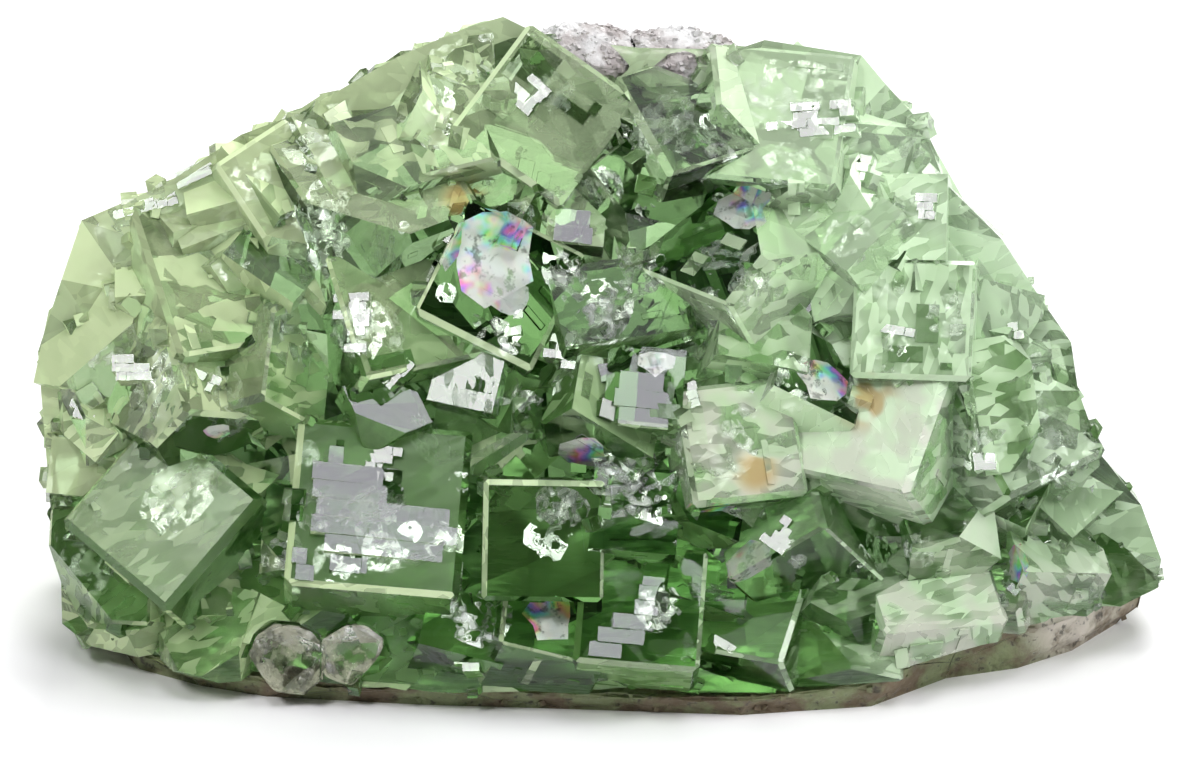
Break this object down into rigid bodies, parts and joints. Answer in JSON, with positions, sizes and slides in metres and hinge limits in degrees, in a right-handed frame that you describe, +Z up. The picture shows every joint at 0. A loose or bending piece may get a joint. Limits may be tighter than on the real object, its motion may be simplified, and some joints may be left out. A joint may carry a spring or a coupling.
{
  "type": "green fluorite crystal cluster",
  "caption": "Hand specimen of see-through green fluorite: intergrown, partly broken cubes in a mound on a thin layer of host rock, resting on a flat foot.",
  "frame": {"origin": "middle of the flat foot, under the middle of the whole specimen's box", "axes": "+X along the specimen's length, to the right as the display side is seen; +Y towards its back; +Z up from the foot"},
  "size_m": [0.118, 0.0588, 0.0668],
  "materials": {
    "fluorite": "clear to cloudy green fluorite, glossy cube faces with satin and broken areas",
    "foot_rock": "rough brown-green host rock with a pale pinkish crust",
    "ridge_rock": "sugary grey-pink host rock",
    "quartz": "pale greasy-looking quartz, partly see-through"
  },
  "bodies": {
    "root": {"fluorite_crystals": "fluorite", "matrix_foot": "foot_rock", "matrix_ridge": "ridge_rock", "quartz_crystals": "quartz"}
  },
  "joints": []
}
